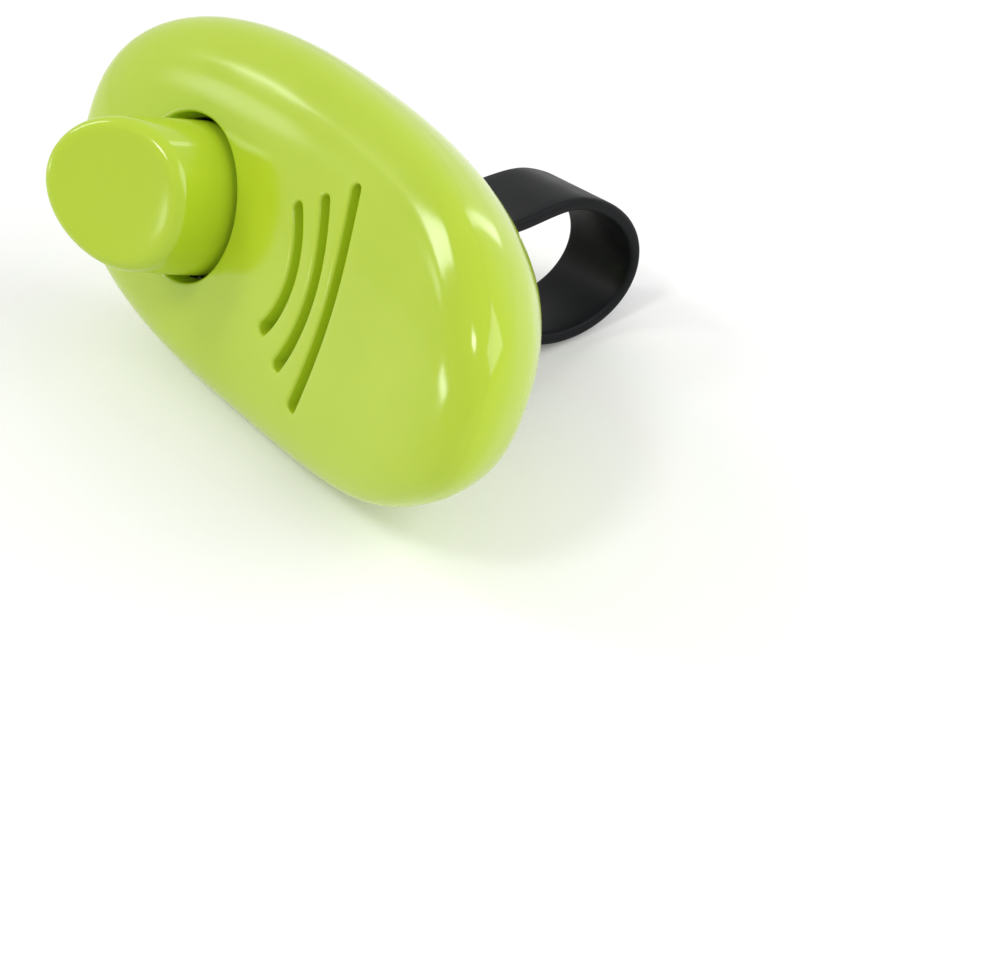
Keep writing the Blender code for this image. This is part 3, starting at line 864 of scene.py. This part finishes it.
joinery = {
    "pegPlaces": ((-19.5, 7.0), (13.5, 9.5)),
    "pegRadius": 1.1,
    "pegReach": 1.8,
    "pegBevel": 0.3,
    "socketWall": 0.8,
    "screwPitch": 5.0,
    "screwRadius": 0.55,
    "screwLength": 4.0,
    "clampThickness": 0.4,
    "postWall": 1.2,
    "postBevel": 0.15,
    "sink": 0.8,  # how far a peg's or post's root stays below the outside, within the wall
    "sides": 40,
}
pegPlaces = [(x, side * y) for x, y in joinery["pegPlaces"] for side in (-1, 1)]
screwPlaces = [(button["x"] + side * joinery["screwPitch"] / 2, -leaf["lever"]) for side in (-1, 1)]


def backOutside(x, y):
    return np.where(dishShare(x, y) < 1, dishLevel(x, y), backLevel(x, y))


def pegRoot(x, y):
    return frontLevel(x, y) - joinery["sink"]


def postRoot(x, y):
    return backOutside(x, y) + joinery["sink"]


def pegRow(x, y, radius, level):
    return loopAt(ringLoop(x, y, radius, joinery["sides"]), level)


def buildPegs():
    skin = newSkin()
    radius, bevel = joinery["pegRadius"], joinery["pegBevel"]
    for x, y in pegPlaces:
        foot = seamLevel(x) - joinery["pegReach"]
        rows = [
            pegRow(x, y, 0.0, flatLevel(foot)),
            pegRow(x, y, radius - bevel, flatLevel(foot)),
            pegRow(x, y, radius, flatLevel(foot + bevel)),
            pegRow(x, y, radius, pegRoot),
            pegRow(x, y, 0.0, pegRoot),
        ]
        addRows(skin, rows)
    return skin


def tubePost(skin, x, y, outer, bore, top, bottom):
    bevel = joinery["postBevel"]
    rows = [
        pegRow(x, y, 0.0, postRoot),
        pegRow(x, y, outer, postRoot),
        pegRow(x, y, outer, flatLevel(top - bevel)),
        pegRow(x, y, outer - bevel, flatLevel(top)),
        pegRow(x, y, bore, flatLevel(top)),
        pegRow(x, y, bore, flatLevel(bottom)),
        pegRow(x, y, 0.0, flatLevel(bottom)),
    ]
    addRows(skin, rows)


def buildSockets():
    skin = newSkin()
    bore = joinery["pegRadius"] + pieceGap
    for x, y in pegPlaces:
        bottom = seamLevel(x) - joinery["pegReach"] - pieceGap
        tubePost(skin, x, y, bore + joinery["socketWall"], bore, seamLevel(x) - 2 * pieceGap, bottom)
    return skin


def buildPosts():
    skin = newSkin()
    bore = joinery["screwRadius"] + pieceGap
    top = leafTop - leaf["thickness"] - leaf["rootPlay"]
    seat = leafTop + leaf["rootPlay"] + joinery["clampThickness"] + pieceGap
    bottom = seat - joinery["screwLength"] - pieceGap
    for x, y in screwPlaces:
        tubePost(skin, x, y, bore + joinery["postWall"], bore, top, bottom)
    return skin


# dress the frame

shellLime = limePlastic("shellLime")
buttonLime = limePlastic("buttonLime")
strapBlack = bandRubber("strapBlack")
frontSkin, backSkin = softenRim(frontRows(0.0), softenRidge(backRows(0.0)))
makePiece("frontShell", buildFront(frontSkin), shellLime, "housing", "front_shell", "front_shell")
makePiece("backShell", buildBack(backSkin), shellLime, "housing", "back_shell", "back_shell")
makePiece("pushButton", buildButton(), buttonLime, "button", "push_button", "push_button")
makePiece("buttonEars", buildEars(), buttonLime, "button", "push_button")
makePiece("fingerStrap", buildStrap(), strapBlack, "housing", "finger_strap", "finger_strap")
makePiece("shellPegs", buildPegs(), shellLime, "housing", "front_shell")
makePiece("pegSockets", buildSockets(), shellLime, "housing", "back_shell")
makePiece("screwPosts", buildPosts(), shellLime, "housing", "back_shell")

steelFinishes = {
    "click_leaf": ((0.62, 0.61, 0.58), (0.2, 0.32)),
    "leaf_clamp": ((0.58, 0.58, 0.57), (0.3, 0.45)),
    "leaf_screw_1": ((0.56, 0.56, 0.56), (0.25, 0.4)),
    "leaf_screw_2": ((0.56, 0.56, 0.56), (0.25, 0.4)),
}
frontLean = math.atan2(outOfFront.z, -outOfFront.y)
for node, (colour, sheen) in steelFinishes.items():
    steel = brushedSteel(node + "Steel", colour, sheen, math.pi / 2 - frontLean)
    for place in frame["nodes"][node].material_slots:
        place.material = steel
print("pieces dressed")


# studio: white table, soft boxes and a bright surround

studio = {
    "tableSize": 3.0,
    "tableColour": (0.9, 0.9, 0.9),
    "tableRoughness": 0.9,
    "tableSpecular": 0.1,
    "tableGlow": 0.1,
    "surround": 0.6,  # light from all round
    "backdrop": 1.0,  # the same surround where it is seen
    "softBoxes": (
        # name, azimuth, elevation, distance, width and height, power
        ("keyBox", 11.0, 55.0, 0.6, (0.11, 0.11), 0.58),
        ("windowBox", -57.0, 38.0, 0.6, (0.105, 0.26), 0.7),
        ("lowBox", -54.0, 17.0, 0.6, (0.06, 0.06), 0.03),
        ("spotBox", -35.0, 3.2, 0.6, (0.14, 0.05), 0.19),
        ("rearStrip", -165.0, 20.0, 0.6, (0.06, 0.4), 0.25),
        ("tailFill", 120.0, 35.0, 0.6, (0.5, 0.4), 1.7),
    ),
}


def towards(azimuth, elevation):
    a, e = math.radians(azimuth), math.radians(elevation)
    return Vector((math.sin(a) * math.cos(e), -math.cos(a) * math.cos(e), math.sin(e)))


def seenAsBackground(tree):
    # 1 where the camera sees it, also in a reflection or through glass
    path = tree.nodes.new("ShaderNodeLightPath")
    seen = path.outputs["Is Camera Ray"]
    for kind in ("Is Glossy Ray", "Is Transmission Ray"):
        either = tree.nodes.new("ShaderNodeMath")
        either.operation = "MAXIMUM"
        tree.links.new(seen, either.inputs[0])
        tree.links.new(path.outputs[kind], either.inputs[1])
        seen = either.outputs[0]
    return seen


def addTable():
    half = studio["tableSize"] / 2
    mesh = bpy.data.meshes.new("table")
    corners = [(-half, -half, 0.0), (half, -half, 0.0), (half, half, 0.0), (-half, half, 0.0)]
    mesh.from_pydata(corners, [], [(0, 1, 2, 3)])
    table = bpy.data.objects.new("table", mesh)
    table.location.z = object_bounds()[0].z
    bpy.context.scene.collection.objects.link(table)
    finish, tree, shader = newFinish("tableWhite")
    shader.inputs["Base Color"].default_value = (*studio["tableColour"], 1.0)
    shader.inputs["Roughness"].default_value = studio["tableRoughness"]
    shader.inputs["Specular IOR Level"].default_value = studio["tableSpecular"]
    shader.inputs["Emission Color"].default_value = (1.0, 1.0, 1.0, 1.0)
    level = tree.nodes.new("ShaderNodeMath")
    level.operation = "MULTIPLY"
    level.inputs[1].default_value = studio["tableGlow"]
    tree.links.new(seenAsBackground(tree), level.inputs[0])
    tree.links.new(level.outputs[0], shader.inputs["Emission Strength"])
    mesh.materials.append(finish)


def addSurround():
    world = bpy.data.worlds.new("surround")
    world.use_nodes = True
    tree = world.node_tree
    background = tree.nodes["Background"]
    background.inputs["Color"].default_value = (1.0, 1.0, 1.0, 1.0)
    level = tree.nodes.new("ShaderNodeMapRange")
    level.inputs["To Min"].default_value = studio["surround"]
    level.inputs["To Max"].default_value = studio["backdrop"]
    tree.links.new(seenAsBackground(tree), level.inputs["Value"])
    tree.links.new(level.outputs["Result"], background.inputs["Strength"])
    bpy.context.scene.world = world


def addSoftBox(name, azimuth, elevation, distance, size, power):
    lamp = bpy.data.lights.new(name, "AREA")
    lamp.shape = "RECTANGLE"
    lamp.size, lamp.size_y = size
    lamp.energy = power
    box = bpy.data.objects.new(name, lamp)
    direction = towards(azimuth, elevation)
    box.location = housingOrigin + distance * direction
    box.rotation_mode = "QUATERNION"
    box.rotation_quaternion = direction.to_track_quat("Z", "Y")
    bpy.context.scene.collection.objects.link(box)


addTable()
addSurround()
for softBox in studio["softBoxes"]:
    addSoftBox(*softBox)
print("studio lit")


# camera at the photo's angle, with the housing's middle where the photo has it

photoView = {
    "azimuth": 56.08,
    "elevation": 31.56,
    "roll": -3.03,
    "distance": 0.17575,
    "lens": 77.6,
    "sensor": 36.0,
    "clipStart": 0.01,
    "image": (1000, 963),
    "spot": (309.9, 255.4),  # pixel of the housing's middle
}


def addCamera():
    lens = bpy.data.cameras.new("photoCamera")
    lens.sensor_width = photoView["sensor"]
    lens.lens = photoView["lens"]
    lens.clip_start = photoView["clipStart"]
    camera = bpy.data.objects.new("photoCamera", lens)
    back = towards(photoView["azimuth"], photoView["elevation"])
    roll = Matrix.Rotation(math.radians(photoView["roll"]), 3, "Z")
    facing = back.to_track_quat("Z", "Y").to_matrix() @ roll
    width, height = photoView["image"]
    focal = photoView["lens"] / photoView["sensor"] * width
    spot = Vector((photoView["spot"][0] - width / 2, height / 2 - photoView["spot"][1], -focal))
    aside = spot.rotation_difference(Vector((0.0, 0.0, -1.0))).to_matrix()
    place = Matrix.Translation(housingOrigin + photoView["distance"] * back)
    camera.matrix_world = place @ (facing @ aside).to_4x4()
    bpy.context.scene.collection.objects.link(camera)
    bpy.context.scene.camera = camera


addCamera()
bpy.context.scene.view_settings.view_transform = "Standard"
print("camera set")
